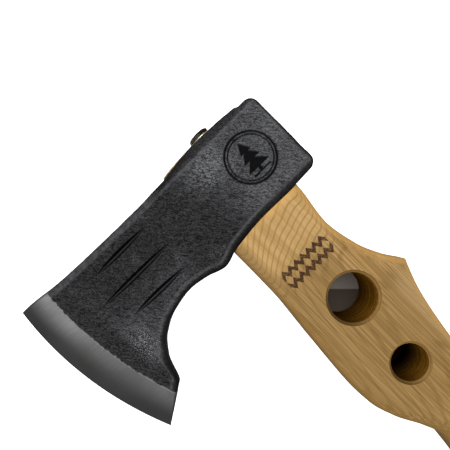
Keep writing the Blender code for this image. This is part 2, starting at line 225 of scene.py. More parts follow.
def eye_distance(y, z):
    """How far a point lies outside the eye, in millimetres; negative inside it."""
    u = (y - EYE_CENTRE_Y) / EYE_HALF_LENGTH
    width = EYE_HALF_WIDTH * (1 - EYE_TAPER * np.clip(u, -1, 1))
    radius = np.sqrt(u**2 + (z / width) ** 2)
    reach = np.sqrt((y - EYE_CENTRE_Y) ** 2 + z**2) / np.maximum(radius, 1e-6)
    return (radius - 1) * reach


def new_object(name, verts, faces):
    """Object with its mesh at the CAD position; verts are millimetres about the middle plane."""
    mesh = bpy.data.meshes.new(name)
    placed = (np.asarray(verts) + np.array([0.0, 0.0, MIDDLE_Z])) * MM
    mesh.from_pydata(placed.tolist(), [], faces)
    obj = bpy.data.objects.new(name, mesh)
    bpy.context.scene.collection.objects.link(obj)
    return obj


def tube_faces(rings, count):
    """Quads between consecutive rings of count points each."""
    i = np.arange(count)
    j = (i + 1) % count
    faces = []
    for r in range(rings - 1):
        a, b = r * count, (r + 1) * count
        faces.extend(np.stack([a + i, a + j, b + j, b + i], axis=1).tolist())
    return faces


def clean(obj):
    """Merges doubled points and turns every face outwards."""
    bm = bmesh.new()
    bm.from_mesh(obj.data)
    bmesh.ops.remove_doubles(bm, verts=bm.verts, dist=MERGE_DISTANCE)
    bmesh.ops.dissolve_degenerate(bm, edges=bm.edges, dist=SHORTEST_EDGE)
    bmesh.ops.recalc_face_normals(bm, faces=bm.faces)
    bm.to_mesh(obj.data)
    bm.free()


def shade(obj, degrees):
    obj.data.shade_smooth()
    obj.data.set_sharp_from_angle(angle=math.radians(degrees))


def loft(name, loops):
    """Closed object through loops of equal length, with flat caps."""
    loops = [np.asarray(loop, float) for loop in loops]
    count = len(loops[0])
    faces = tube_faces(len(loops), count)
    faces.append(list(range(count)))
    faces.append(list(range((len(loops) - 1) * count, len(loops) * count)))
    obj = new_object(name, np.concatenate(loops), faces)
    clean(obj)
    return obj


def turned(name, profile, sides):
    """Solid of revolution about the axis of the screw, from (x, radius) points."""
    angle = full_turn(sides)
    loops = []
    for x, radius in profile:
        y, z = SCREW_Y + radius * np.cos(angle), radius * np.sin(angle)
        loops.append(np.stack([np.full(sides, x), y, z], axis=1))
    return loft(name, loops)


def cut(obj, tool, operation="DIFFERENCE"):
    """Applies a Boolean and removes its tool; the cut takes the tool's material."""
    modifier = obj.modifiers.new("cut", "BOOLEAN")
    modifier.operation = operation
    modifier.solver = "EXACT"
    modifier.material_mode = "TRANSFER"
    modifier.object = tool
    graph = bpy.context.evaluated_depsgraph_get()
    result = bpy.data.meshes.new_from_object(
        obj.evaluated_get(graph), preserve_all_data_layers=True, depsgraph=graph
    )
    obj.modifiers.clear()
    obj.data = result
    bpy.data.objects.remove(tool, do_unlink=True)


def coordinates(obj):
    """Points of the mesh in millimetres about the middle plane."""
    flat = np.empty(len(obj.data.vertices) * 3, dtype=np.float32)
    obj.data.vertices.foreach_get("co", flat)
    return flat.reshape(-1, 3).astype(float) / MM - np.array([0.0, 0.0, MIDDLE_Z])


def move_to(obj, points):
    placed = (points + np.array([0.0, 0.0, MIDDLE_Z])) * MM
    obj.data.vertices.foreach_set("co", placed.astype(np.float32).ravel())
    obj.data.update()


def point_normals(obj):
    flat = np.empty(len(obj.data.vertices) * 3, dtype=np.float32)
    obj.data.vertex_normals.foreach_get("vector", flat)
    return flat.reshape(-1, 3).astype(float)


def add_attribute(obj, name, values):
    layer = obj.data.attributes.new(name, "FLOAT", "POINT")
    layer.data.foreach_set("value", np.asarray(values, dtype=np.float32))


# ---------------------------------------------------------------- materials

def grey(level):
    return (level, level, level)


# Colours of the steel, as linear red, green and blue
# the second pair is a painted lit copy of the first, for zones painted as catching more light; crests paler
# than pits are partly the scale's own mottling, partly painted glints on its bumps
PIT_DARK, CREST_DARK = grey(0.002), (0.041, 0.041, 0.042)
PIT_PAINTED_LIT, CREST_PAINTED_LIT = (0.020, 0.020, 0.022), (0.126, 0.127, 0.137)
CREASE, SCUFF, SPECK = grey(0.008), (0.21, 0.212, 0.225), (0.42, 0.42, 0.43)
# painted shade on the rounded rim; the pale line beside it is edge wear, with painted light on the upper edge
# towards the blade
RIM_PAINTED_SHADE, RIM_WEAR_AND_PAINTED_LIGHT = grey(0.006), (0.094, 0.094, 0.099)
# painted shade in the claw grooves, also the black of the engraved mark, and a painted lit groove wall
GROOVE_SHADE_AND_MARK_BLACK, GROOVE_WALL = grey(0.0003), grey(0.034)
# the first pair is painted reflection, dark towards the edge and bright along the inner line
GROUND_PAINTED_DARK_REFLECTION, GROUND_PAINTED_BRIGHT_REFLECTION = (0.050, 0.050, 0.049), (0.315, 0.318, 0.315)
GROUND_SCRATCH, GROUND_CLOUD, GROUND_LIP = grey(0.065), grey(0.075), grey(0.30)

# Colours of the wood; a wall or a lip has a light and a dark one
ASH_PALE, ASH_WARM = (0.475, 0.300, 0.118), (0.375, 0.225, 0.075)
RING, FIBRE, PORE = (0.255, 0.138, 0.042), (0.235, 0.127, 0.040), (0.15, 0.078, 0.022)
# the slab colour is its browner tone; the front colour is painted shade on the edge by the head, the two
# gleams are painted light on the rear and rounded edges
SLAB_SHADE, FRONT_EDGE_PAINTED_SHADE = (0.172, 0.102, 0.027), (0.170, 0.105, 0.040)
REAR_GLEAM, ROUNDED_GLEAM = (0.60, 0.42, 0.22), (0.72, 0.40, 0.12)
CHAR = (0.042, 0.017, 0.005)
END_GRAIN, END_RING = (0.30, 0.17, 0.062), (0.16, 0.082, 0.026)
WEDGE_BROWN = (0.10, 0.045, 0.012)
HOLE_WALL = ((0.400, 0.190, 0.022), (0.150, 0.062, 0.006))
HOLE_LIP = ((0.36, 0.215, 0.075), (0.21, 0.115, 0.034))
# painted shade deep in the holes
HOLE_DEEP_SHADE = (0.0015, 0.0006, 0.0002)

# Colours of the plated pieces and of the floor
DARK_PLATE, BRIGHT_PLATE = (0.070, 0.060, 0.046), (0.62, 0.59, 0.52)
PAPER_LOW, PAPER_HIGH = grey(0.80), grey(0.84)
# painted shadow on the floor under the holes
SHADOW_UNDER_LARGE_HOLE = ((0.310, 0.275, 0.250), (0.094, 0.072, 0.058))
SHADOW_UNDER_SMALL_HOLE = (0.010, 0.004, 0.002)


class Nodes:
    """Short way to write a node tree."""

    def __init__(self, name):
        self.material = bpy.data.materials.new(name)
        self.material.use_nodes = True
        self.tree = self.material.node_tree
        self.shader = self.tree.nodes["Principled BSDF"]

    def add(self, kind, **inputs):
        node = self.tree.nodes.new(kind)
        for key, value in inputs.items():
            self.feed(node, key, value)
        return node

    def feed(self, node, key, value):
        socket = node.inputs[int(key[1:])] if key[0] == "_" else node.inputs[key.replace("_", " ")]
        if isinstance(value, bpy.types.NodeSocket):
            self.tree.links.new(value, socket)
        else:
            socket.default_value = value

    def position(self, stretch=(1.0, 1.0, 1.0), turn=0.0):
        """Object position in millimetres, turned about z by some degrees, then scaled along each axis."""
        place = self.add("ShaderNodeTexCoord").outputs["Object"]
        if turn:
            spin = (0.0, 0.0, math.radians(turn))
            place = self.add("ShaderNodeMapping", Vector=place, Rotation=spin).outputs[0]
        scale = tuple(s / MM for s in stretch)
        return self.add("ShaderNodeMapping", Vector=place, Scale=scale).outputs[0]

    def axes(self, vector):
        node = self.add("ShaderNodeSeparateXYZ", Vector=vector)
        return node.outputs["X"], node.outputs["Y"], node.outputs["Z"]

    def surface_direction(self):
        return self.axes(self.add("ShaderNodeNewGeometry").outputs["Normal"])

    def noise(self, vector, scale, detail=2.0, rough=0.5, distort=0.0):
        numbers = {"Scale": scale, "Detail": detail, "Roughness": rough, "Distortion": distort}
        return self.add("ShaderNodeTexNoise", Vector=vector, **numbers).outputs["Fac"]

    def attribute(self, name):
        node = self.add("ShaderNodeAttribute")
        node.attribute_name = name
        return node.outputs["Fac"]

    def math(self, operation, a, b=0.0):
        node = self.add("ShaderNodeMath")
        node.operation = operation
        for i, value in enumerate((a, b)):
            self.feed(node, f"_{i}", value)
        return node.outputs[0]

    def chain(self, operation, values):
        """One operation carried from the first value to the last."""
        result = values[0]
        for value in values[1:]:
            result = self.math(operation, result, value)
        return result

    def times(self, *values):
        return self.chain("MULTIPLY", values)

    def plus(self, *values):
        return self.chain("ADD", values)

    def minus(self, *values):
        return self.chain("SUBTRACT", values)

    def most(self, *values):
        return self.chain("MAXIMUM", values)

    def between(self, value, low, high, out_low=0.0, out_high=1.0):
        """Maps low..high to out_low..out_high, clamped and smooth."""
        node = self.add("ShaderNodeMapRange")
        node.interpolation_type = "SMOOTHSTEP"
        for i, number in enumerate((value, low, high, out_low, out_high)):
            self.feed(node, f"_{i}", number)
        return node.outputs[0]

    def near(self, value, centre, full, gone, strength=1.0):
        """The strength up to full away from the centre, falling to 0 at gone away from it."""
        return self.between(self.math("ABSOLUTE", self.minus(value, centre)), full, gone, strength, 0.0)

    def mix(self, factor, a, b):
        node = self.tree.nodes.new("ShaderNodeMix")
        node.data_type = "RGBA"
        for key, value in (("Factor", factor), ("A", a), ("B", b)):
            sockets = [s for s in node.inputs if s.name == key and s.type in ("VALUE", "RGBA")]
            socket = sockets[0] if key == "Factor" else sockets[-1]
            if isinstance(value, bpy.types.NodeSocket):
                self.tree.links.new(value, socket)
            else:
                socket.default_value = value if key == "Factor" else (*value, 1.0)
        return [s for s in node.outputs if s.type == "RGBA"][0]

    def bump(self, height, strength, distance):
        return self.add("ShaderNodeBump", Height=height, Strength=strength, Distance=distance * MM).outputs[0]

    def finish(self, colour, roughness, normal=None, **constants):
        self.feed(self.shader, "Base_Color", colour)
        self.feed(self.shader, "Roughness", roughness)
        if normal is not None:
            self.feed(self.shader, "Normal", normal)
        for key, value in constants.items():
            self.feed(self.shader, key, value)
        return self.material


def claw_lines(n, x, y):
    """Painted shade in the claw grooves: black under the upper lip, a painted lit wall, a fine dark line at
    the lower lip.
    """
    black, pale = 0.0, 0.0
    for centre, start, end in GROOVES:
        along = n.times(n.minus(y, start), 1 / (end - start))
        along = n.most(n.math("MINIMUM", along, 1.0), 0.0)
        swell = n.math("SINE", n.times(n.math("POWER", along, GROOVE_SWELL), math.pi))
        half = n.most(n.times(n.math("POWER", swell, GROOVE_TAPER), GROOVE_HALF_WIDTH), 0.02)
        lean = n.times(n.minus(y, (start + end) / 2), GROOVE_SLANT)
        # places across the groove, from -1 at the lower lip to 1 at the upper lip
        across = n.math("DIVIDE", n.minus(x, centre, lean), half)
        broad = n.near(across, 0.56, 0.36, 0.54)
        thin = n.near(across, -0.70, 0.26, 0.42, 0.9)
        black = n.most(broad, thin, black)
        pale = n.most(n.near(across, -0.08, 0.20, 0.40), pale)
    return black, pale


def forged_skin(n, place, x, y, bevel, fine):
    """Forge scale of the cheeks with zones painted pale and dark as painted reflection, a creased band, a
    scuffed patch and bright specks.
    """
    # painted reflection: the flat of the poll, the foot of the blade and the flank above the beard are
    # painted paler than the hollow
    patches = n.noise(place, 0.045, 3.0, 0.5)
    poll = n.between(n.minus(y, n.times(x, 0.30)), -4.0, 24.0, 1.0, 0.0)
    foot = n.between(n.minus(y, n.times(x, 0.45)), 82.0, 104.0, 0.0, 0.40)
    flank = n.times(n.between(x, -20.0, 2.0, 0.45, 0.0), n.between(y, 32.0, 56.0))
    away_from_bevel = n.between(bevel, -15.0, -8.0, 1.0, 0.12)
    pale = n.most(poll, n.times(n.most(foot, flank), away_from_bevel))
    pale = n.times(pale, n.between(patches, 0.34, 0.62, 0.60, 1.0))
    dark_skin = n.mix(n.between(fine, 0.42, 0.60), PIT_DARK, CREST_DARK)
    painted_lit_skin = n.mix(n.between(fine, 0.42, 0.59), PIT_PAINTED_LIT, CREST_PAINTED_LIT)
    skin = n.mix(pale, dark_skin, painted_lit_skin)

    # creased band where the poll runs out into the cheek, with a scuffed patch at its top
    creases = n.noise(n.position((0.16, 0.55, 1.0), -35.0), 1.0, 3.0, 0.65, 1.5)
    band = n.times(n.near(y, 13.0, 6.0, 20.0), n.between(creases, 0.52, 0.62))
    skin = n.mix(n.times(band, 0.7), skin, CREASE)
    scuff = n.times(n.near(x, 12.0, 2.0, 12.0), n.near(y, 5.0, 3.0, 15.0), n.between(fine, 0.46, 0.58))
    skin = n.mix(n.times(scuff, 0.55), skin, SCUFF)

    # bright specks, thickest at the foot of the blade
    specks = n.noise(place, 2.2, 2.0, 0.6)
    cluster = n.times(n.near(y, 90.0, 2.0, 10.0), n.near(x, -28.0, 4.0, 17.0))
    strewn = n.between(n.noise(place, 0.07, 2.0, 0.5), 0.56, 0.70, 0.0, 0.25)
    bright = n.times(n.between(specks, 0.55, 0.68), n.most(n.times(cluster, 0.8), strewn))
    return n.mix(bright, skin, SPECK)


def ground_steel(n, place, x, bevel, scratches):
    """Satin grinding of the bevel with painted reflection: palest along its inner line and towards the toe,
    darker towards the edge.
    """
    cloud = n.noise(place, 0.05, 2.0)
    toe = n.between(x, -22.0, 26.0)
    # painted reflection: bright along the inner line and towards the toe, darker towards the edge
    inner = n.between(bevel, 0.0, 15.0, 1.0, 0.0)
    inner = n.times(inner, n.between(toe, 0.0, 1.0, 0.42, 1.0))
    satin_and_painted_reflection = n.mix(inner, GROUND_PAINTED_DARK_REFLECTION, GROUND_PAINTED_BRIGHT_REFLECTION)
    satin_and_painted_reflection = n.mix(n.between(scratches, 0.3, 0.7, 0.0, 0.25), satin_and_painted_reflection, GROUND_SCRATCH)
    satin_and_painted_reflection = n.mix(n.between(cloud, 0.35, 0.65, 0.0, 0.35), satin_and_painted_reflection, GROUND_CLOUD)
    lip = n.between(bevel, 0.2, 1.4, 1.0, 0.0)
    return n.mix(n.times(lip, 0.45), satin_and_painted_reflection, GROUND_LIP)


def forged_steel():
    """Black forge scale with painted shade on the rounded edges, engraved lines with painted shade in the
    grooves, and a ground bevel with painted reflection.
    """
    n = Nodes("forged_black_steel")
    place = n.position()
    x, y, _ = n.axes(place)
    bevel = n.times(n.attribute("bevel"), BEVEL_RANGE)
    strokes = n.noise(n.position((0.42, 1.35, 1.0), -40.0), 1.0, 3.0, 0.7, 1.6)
    grain = n.noise(place, 1.5, 3.0, 0.65, 0.6)
    fine = n.plus(n.times(strokes, 0.66), n.times(grain, 0.34))
    scratches = n.noise(n.position((1.9, 0.05, 1.0), 8.0), 1.0, 3.0, 0.6)

    skin = forged_skin(n, place, x, y, bevel, fine)
    # painted shade on the rounded rim, which faces away from the light
    skin = n.mix(n.times(n.attribute("rim"), 0.86), skin, RIM_PAINTED_SHADE)
    # pale line beside the rim: edge wear, and towards the blade painted light on the upper edge
    streak = n.between(n.noise(place, 0.35, 3.0, 0.6), 0.40, 0.62, 0.28, 0.66)
    skin = n.mix(n.times(n.attribute("wear_and_painted_light_line"), streak), skin, RIM_WEAR_AND_PAINTED_LIGHT)
    # painted shade in the claw grooves with a painted lit wall; the engraved mark is black
    groove_shade, groove_lit_wall = claw_lines(n, x, y)
    skin = n.mix(n.times(groove_lit_wall, 0.7), skin, GROOVE_WALL)
    skin = n.mix(n.most(n.attribute("engraved"), groove_shade), skin, GROOVE_SHADE_AND_MARK_BLACK)

    ragged = n.plus(bevel, n.times(n.minus(n.noise(place, 0.5, 3.0, 0.6), 0.5), 2.6))
    ground = n.between(ragged, -0.35, 0.35)
    colour = n.mix(ground, skin, ground_steel(n, place, x, bevel, scratches))
    roughness = n.plus(n.between(fine, 0.3, 0.7, 0.62, 0.5), n.times(ground, -0.10))
    metallic = n.between(ground, 0.0, 1.0, 0.0, 0.85)
    relief = n.plus(n.times(fine, n.minus(1.0, ground)), n.times(scratches, ground, 0.04))
    normal = n.bump(relief, 1.0, 0.35)
    return n.finish(colour, roughness, normal, Metallic=metallic, Specular_IOR_Level=0.06)


def chevrons(n, place, x, y, z):
    """Burnt pattern on the near side of the slab: two rows of small chevrons."""
    across = n.math("ABSOLUTE", n.minus(x, PATTERN_X))
    along = n.minus(y, PATTERN_Y)
    zigzag = n.math("ABSOLUTE", n.minus(n.math("FRACT", n.times(along, CHEVRONS_PER_MM)), 0.5))
    offset = n.minus(across, PATTERN_ROW_OFFSET, n.times(n.minus(zigzag, 0.25), CHEVRON_SWING))
    stroke = n.near(offset, 0.0, 1.25, 1.65)
    inside = n.near(along, 0.0, 14.6, 14.9)
    near_side = n.between(z, 10.0, 12.0)
    uneven = n.between(n.noise(place, 0.9, 2.0), 0.25, 0.6, 0.68, 1.0)
    return n.times(stroke, inside, near_side, uneven)


def ash_wood(name, dark=0.0):
    """Straight-grained ash sawn off the heart: arched growth rings with dark broken pores."""
    n = Nodes(name)
    place = n.position()
    x, y, z = n.axes(place)
    warp = n.noise(n.position((0.012, 0.05, 0.05)), 1.0, 2.0)
    from_y, from_z = n.minus(y, HEART_Y), n.minus(z, HEART_Z)
    radius = n.math("SQRT", n.plus(n.times(from_y, from_y), n.times(from_z, from_z)))
    radius = n.plus(radius, n.times(x, 0.045), n.times(warp, 5.0), n.between(x, -66.0, -14.0, 0.0, 17.0))
    early = n.near(n.math("FRACT", n.times(radius, RINGS_PER_MM)), 0.5, 0.03, 0.21)
    pores = n.noise(n.position((0.06, 2.6, 2.6)), 1.0, 2.0, 0.65)
    fibres = n.noise(n.position((0.012, 1.3, 1.3)), 1.0, 3.0, 0.7)
    streaks = n.noise(n.position((0.006, 0.30, 0.30)), 1.0, 3.0, 0.6)

    # fibres and pores show on the slab and the grip, the rings most on the neck and along the front
    colour = n.mix(n.between(streaks, 0.36, 0.66), ASH_PALE, ASH_WARM)
    slab = n.between(x, -62.0, -42.0, 1.0, 0.15)
    neck_or_front = n.most(n.between(y, -26.0, -8.0, 0.35, 1.0), n.between(x, -66.0, -58.0))
    ring_strength = n.times(neck_or_front, n.between(x, -62.0, -48.0, 0.48, 0.66))
    colour = n.mix(n.times(early, ring_strength), colour, RING)
    colour = n.mix(n.times(n.between(fibres, 0.46, 0.54, 0.0, 0.80), slab), colour, FIBRE)
    broken = n.times(n.between(pores, 0.52, 0.64), n.between(early, 0.0, 1.0, 0.18, 0.80), slab)
    colour = n.mix(broken, colour, PORE)

    # the slab is browner than the neck, except at its waist; its front edge by the head gets painted shade,
    # its rear edge and its rounded edges painted light
    waist = n.times(n.between(y, -16.0, -4.0, 1.0, 0.0), n.between(x, -96.0, -76.0))
    browner = n.times(n.between(x, -62.0, -40.0, 0.50, 0.0), n.between(waist, 0.0, 1.0, 1.0, 0.35))
    colour = n.mix(browner, colour, SLAB_SHADE)
    # painted shade on the front edge next to the head
    front_edge_shade = n.times(n.between(y, 18.0, 20.5), n.between(x, -58.0, -48.0))
    colour = n.mix(n.times(front_edge_shade, 0.5), colour, FRONT_EDGE_PAINTED_SHADE)
    # painted light on the rear edge of the slab
    rear_edge = n.times(n.between(y, -25.0, -15.0, 1.0, 0.0), n.between(x, -100.0, -84.0, 1.0, 0.0))
    colour = n.mix(n.times(rear_edge, 0.25), colour, REAR_GLEAM)
    # painted light on the edges that face sideways, most on the rear side
    colour = n.mix(n.times(n.attribute("rounded"), 0.6), colour, ROUNDED_GLEAM)
    brand = chevrons(n, place, x, y, z)
    colour = n.mix(brand, colour, CHAR)

    along_handle, _, _ = n.surface_direction()
    end = n.between(n.math("ABSOLUTE", along_handle), 0.80, 0.95)
    colour = n.mix(end, colour, n.mix(early, END_GRAIN, END_RING))
    if dark:
        colour = n.mix(dark, colour, WEDGE_BROWN)
    roughness = n.between(fibres, 0.2, 0.8, 0.50, 0.66)
    relief = n.plus(n.times(fibres, 0.5), n.times(broken, -0.8), n.times(brand, -2.5))
    return n.finish(colour, roughness, n.bump(relief, 0.4, 0.12), Specular_IOR_Level=0.12)


def drilled_wood(name, light, dark):
    """Wall or lip of a drilled hole: browned grain with fine tool rings, with painted shadow on the walls and
    painted shade nearly black deep down.
    """
    n = Nodes(name)
    x, _, z = n.axes(n.position())
    rings = n.noise(n.position((0.03, 0.03, 1.6)), 1.0, 2.0, 0.6)
    grain = n.noise(n.position((0.25, 1.2, 0.25)), 1.0, 3.0)
    colour = n.mix(n.between(rings, 0.36, 0.62), light, dark)
    colour = n.mix(n.between(grain, 0.4, 0.65, 0.0, 0.45), colour, dark)
    _, towards_edge, _ = n.surface_direction()
    # painted shadow, stronger deeper down and on walls turned towards -y
    shadow = n.most(n.between(z, -15.0, 11.0, 0.92, 0.0), n.between(towards_edge, -0.95, 0.3, 0.90, 0.0))
    colour = n.mix(shadow, colour, tuple(0.2 * c for c in dark))
    # painted shade deep down, strongest in the narrow hole
    narrow_hole = n.between(x, -112.0, -108.0, 1.0, 0.55)
    deep_shade = n.times(n.between(z, 5.0, 32.5, 1.0, 0.0), narrow_hole)
    colour = n.mix(deep_shade, colour, HOLE_DEEP_SHADE)
    return n.finish(colour, 0.8, n.bump(rings, 0.5, 0.15), Specular_IOR_Level=0.0)


def plated_steel(name, tint):
    """Zinc plate with faint streaks and grime."""
    n = Nodes(name)
    grime = n.noise(n.position(), 0.8, 3.0, 0.6)
    streak = n.noise(n.position((0.4, 3.0, 3.0)), 1.0, 2.0)
    dull = tuple(c * 0.45 for c in tint)
    colour = n.mix(n.between(grime, 0.42, 0.68, 0.0, 0.7), tint, dull)
    roughness = n.between(streak, 0.3, 0.7, 0.22, 0.42)
    return n.finish(colour, roughness, n.bump(grime, 0.2, 0.05), Metallic=1.0)


def floor_material():
    """White paper that glows, so that no shadow shows; only under the holes it is painted dark, as painted
    shadow.
    """
    n = Nodes("white_floor")
    place = n.add("ShaderNodeTexCoord").outputs["Object"]
    clear_of_each = []
    for x, y, diameter in HOLES:
        offset = n.add("ShaderNodeVectorMath", _0=place, _1=(x * MM, y * MM, 0.0))
        offset.operation = "DISTANCE"
        far = n.between(offset.outputs["Value"], 0.75 * diameter * MM, 0.95 * diameter * MM)
        clear_of_each.append(far)
    clear = n.times(*clear_of_each)
    x, y, _ = n.axes(place)
    # a slanting painted shadow line splits the floor under the large hole; under the small one the painted
    # shadow is dark
    split = n.mix(n.between(n.minus(y, x), 81.2 * MM, 82.6 * MM), *SHADOW_UNDER_LARGE_HOLE)
    hole_shadow = n.mix(n.between(x, -112.0 * MM, -100.0 * MM), SHADOW_UNDER_SMALL_HOLE, split)
    paper = n.mix(n.noise(place, 3.0, 2.0), PAPER_LOW, PAPER_HIGH)
    n.feed(n.shader, "Emission_Color", (1.0, 1.0, 1.0, 1.0))
    n.feed(n.shader, "Emission_Strength", n.times(clear, FLOOR_GLOW))
    return n.finish(n.mix(clear, hole_shadow, paper), 0.9, Specular_IOR_Level=0.0)


# ---------------------------------------------------------------- head

def head_stations():
    """Numbers of each loop from the poll to the cutting edge, one row per loop.

    A row holds y at the top and at the underside, the bow between them, the half thickness, how far
    the loop is drawn in along x and z, and how fully its edges are rounded.
    """
    rows = []
    for angle in np.linspace(0, math.pi / 2, POLL_LOOPS):
        y = POLL_Y + POLL_CORNER * (1 - math.cos(angle))
        shrink = 1 - math.sin(angle)
        rows.append((y, y, 0.0, HALF_HEAD, POLL_CORNER * shrink, RIM_HEIGHT * shrink, 1.0 - shrink))
    start = POLL_Y + POLL_CORNER
    # the loops are closest together where the mark and the grooves are engraved
    for low, high, count in ((start, 22.0, 105), (22.0, 44.0, 30), (44.0, 91.0, 92), (91.0, BEVEL_TOE, 22)):
        for y_top in np.linspace(low, high, count)[1:]:
            w = (y_top - start) / (BEVEL_TOE - start)
            y_low = lerp(start, BEVEL_HEEL, w)
            half = float(smooth(CHEEK_THICKNESS, (y_top + y_low) / 2 + 1.5))
            rows.append((y_top, y_low, BEVEL_SAGITTA * w**3, half, 0.0, 0.0, 1.0))
    for w in np.linspace(0, 1, BEVEL_LOOPS)[1:]:
        y_top, y_low = lerp(BEVEL_TOE, TOE[1], w), lerp(BEVEL_HEEL, HEEL[1], w)
        convex = BEVEL_CONVEXITY * math.sin(math.pi * w) ** 0.9
        half = lerp(BEVEL_HALF_THICKNESS, EDGE_HALF_THICKNESS, w) + convex
        rows.append((y_top, y_low, lerp(BEVEL_SAGITTA, EDGE_SAGITTA, w), half, 0.0, 0.0, lerp(1.0, 0.06, w)))
    return np.array(rows)


def section_pattern(wall, corner, flat):
    """Unit pattern of a rounded rectangle: flats as fractions, corners as angles."""
    fraction_x, fraction_z, angle = [], [], []
    quarter = math.pi / 2
    corners = ((1, -1), (1, 1), (-1, 1), (-1, -1))
    for side, begin in enumerate(corners):
        turn = side * quarter
        end = corners[(side + 1) % 4]
        steps = wall if side in (0, 2) else flat
        fraction_x.extend(np.linspace(begin[0], end[0], steps + 1))
        fraction_z.extend(np.linspace(begin[1], end[1], steps + 1))
        angle.extend([turn] * (steps + 1))
        fraction_x.extend([end[0]] * (corner - 1))
        fraction_z.extend([end[1]] * (corner - 1))
        angle.extend(turn + np.linspace(0, quarter, corner + 1)[1:-1])
    return np.array(fraction_x, float), np.array(fraction_z, float), np.array(angle)


def head_grid():
    """Points of every loop of the head."""
    y_top, y_low, sagitta, half, inset_x, inset_z, rim = head_stations().T[:, :, None]
    fx, fz, angle = section_pattern(WALL_STEPS, CORNER_STEPS, FLAT_STEPS)
    x_top = smooth(TOP_EDGE, y_top) - inset_x
    x_low = underside(y_low) + inset_x
    middle, reach = (x_top + x_low) / 2, (x_top - x_low) / 2
    radius_x = RIM_WIDTH * np.maximum(rim, 0.02)
    radius_z = np.minimum(RIM_HEIGHT * np.maximum(rim, 0.02), 0.8 * (half - inset_z))
    x = middle + (reach - radius_x) * fx + radius_x * np.cos(angle)
    z = (half - inset_z - radius_z) * fz + radius_z * np.sin(angle)
    s = (x - x_low) / (x_top - x_low)
    y = lerp(y_low, y_top, s) + sagitta * (1 - (2 * s - 1) ** 2)
    return np.stack([x, y, z], axis=2)


def cap(loop, base, rows, new_base):
    """Closes an end loop by rows of quads between its two flats, with a polygon at each wall.

    The loop's points are numbered from base. Returns the points added, numbered from new_base, and
    the faces.
    """
    count, side = len(loop), FLAT_STEPS + 1
    near_start = WALL_STEPS + CORNER_STEPS
    far_start = near_start + side + CORNER_STEPS - 1 + WALL_STEPS + CORNER_STEPS
    near = near_start + np.arange(side)
    far = far_start + FLAT_STEPS - np.arange(side)
    points, lines = [], [base + near]
    for row in range(1, rows):
        t = row / rows
        points.append(loop[near] * (1 - t) + loop[far] * t)
        lines.append(new_base + (row - 1) * side + np.arange(side))
    lines.append(base + far)
    faces = []
    for previous, current in zip(lines, lines[1:]):
        quads = np.stack([previous[:-1], previous[1:], current[1:], current[:-1]], axis=1)
        faces.extend(quads.tolist())
    low_wall = [base + i % count for i in range(near[-1], far[-1] + 1)]
    top_wall = [base + i % count for i in range(far[0], count + near[0] + 1)]
    faces.append(low_wall + [int(line[-1]) for line in lines[-2:0:-1]])
    faces.append(top_wall + [int(line[0]) for line in lines[1:-1]])
    return points, faces


def head_mesh():
    grid = head_grid()
    loops, count = grid.shape[:2]
    verts = [grid.reshape(-1, 3)]
    faces = tube_faces(loops, count)
    for loop_index, rows in ((0, POLL_ROWS), (loops - 1, 1)):
        new_base = sum(len(v) for v in verts)
        points, cap_faces = cap(grid[loop_index], loop_index * count, rows, new_base)
        verts.extend(points)
        faces.extend(cap_faces)
    obj = new_object("hatchet_head", np.concatenate(verts), faces)
    clean(obj)
    return obj


def tree_mark(x, y):
    """Depth mask of a plain mark: a fir tree over a ground line, inside a double ring."""
    u = (y - MARK_Y) / MARK_RADIUS
    v = (x - MARK_X) / MARK_RADIUS
    radius = np.sqrt(u**2 + v**2)
    outer_ring = 1 - step_between(0.030, 0.060, np.abs(radius - 1.0))
    inner_ring = 1 - step_between(0.014, 0.040, np.abs(radius - 0.88))
    mask = np.maximum(outer_ring, inner_ring)
    for top, bottom, width in ((0.74, 0.26, 0.27), (0.42, -0.08, 0.40), (0.06, -0.46, 0.52)):
        inside = np.clip((top - v) / (top - bottom), 0, 1) * width
        in_tier = (v < top) & (v > bottom)
        tier = np.where(in_tier, 1 - step_between(-0.03, 0.02, np.abs(u) - inside), 0)
        mask = np.maximum(mask, tier)
    trunk = (np.abs(u) < 0.06) & (v <= -0.46) & (v > -0.62)
    ground = (np.abs(v + 0.64) < 0.035) & (np.abs(u) < 0.42)
    return np.maximum(mask, np.where(trunk | ground, 1.0, 0.0))


def groove_mask(x, y):
    """1 in the middle of a claw groove, 0 at its lips and beyond."""
    mask = np.zeros(len(x))
    for centre, start, end in GROOVES:
        along = np.clip((y - start) / (end - start), 0, 1)
        width = GROOVE_HALF_WIDTH * np.sin(math.pi * along**GROOVE_SWELL) ** GROOVE_TAPER + 1e-6
        off = x - centre - GROOVE_SLANT * (y - (start + end) / 2)
        depth = np.where((y > start) & (y < end), np.clip(1 - np.abs(off) / width, 0, 1), 0)
        mask = np.maximum(mask, depth * np.clip(width / GROOVE_HALF_WIDTH, 0, 1))
    return mask


def outline_distance(x, y):
    """How far a point of the head lies inside its outline, seen from the side, in millimetres."""
    step = 0.5
    top, low = smooth(TOP_EDGE, y), underside(y)
    top_lean = (smooth(TOP_EDGE, y + step) - smooth(TOP_EDGE, y - step)) / (2 * step)
    low_lean = (underside(y + step) - underside(y - step)) / (2 * step)
    from_top = (top - x) / np.sqrt(1 + top_lean**2)
    from_low = (x - low) / np.sqrt(1 + low_lean**2)
    return np.minimum(from_top, from_low)


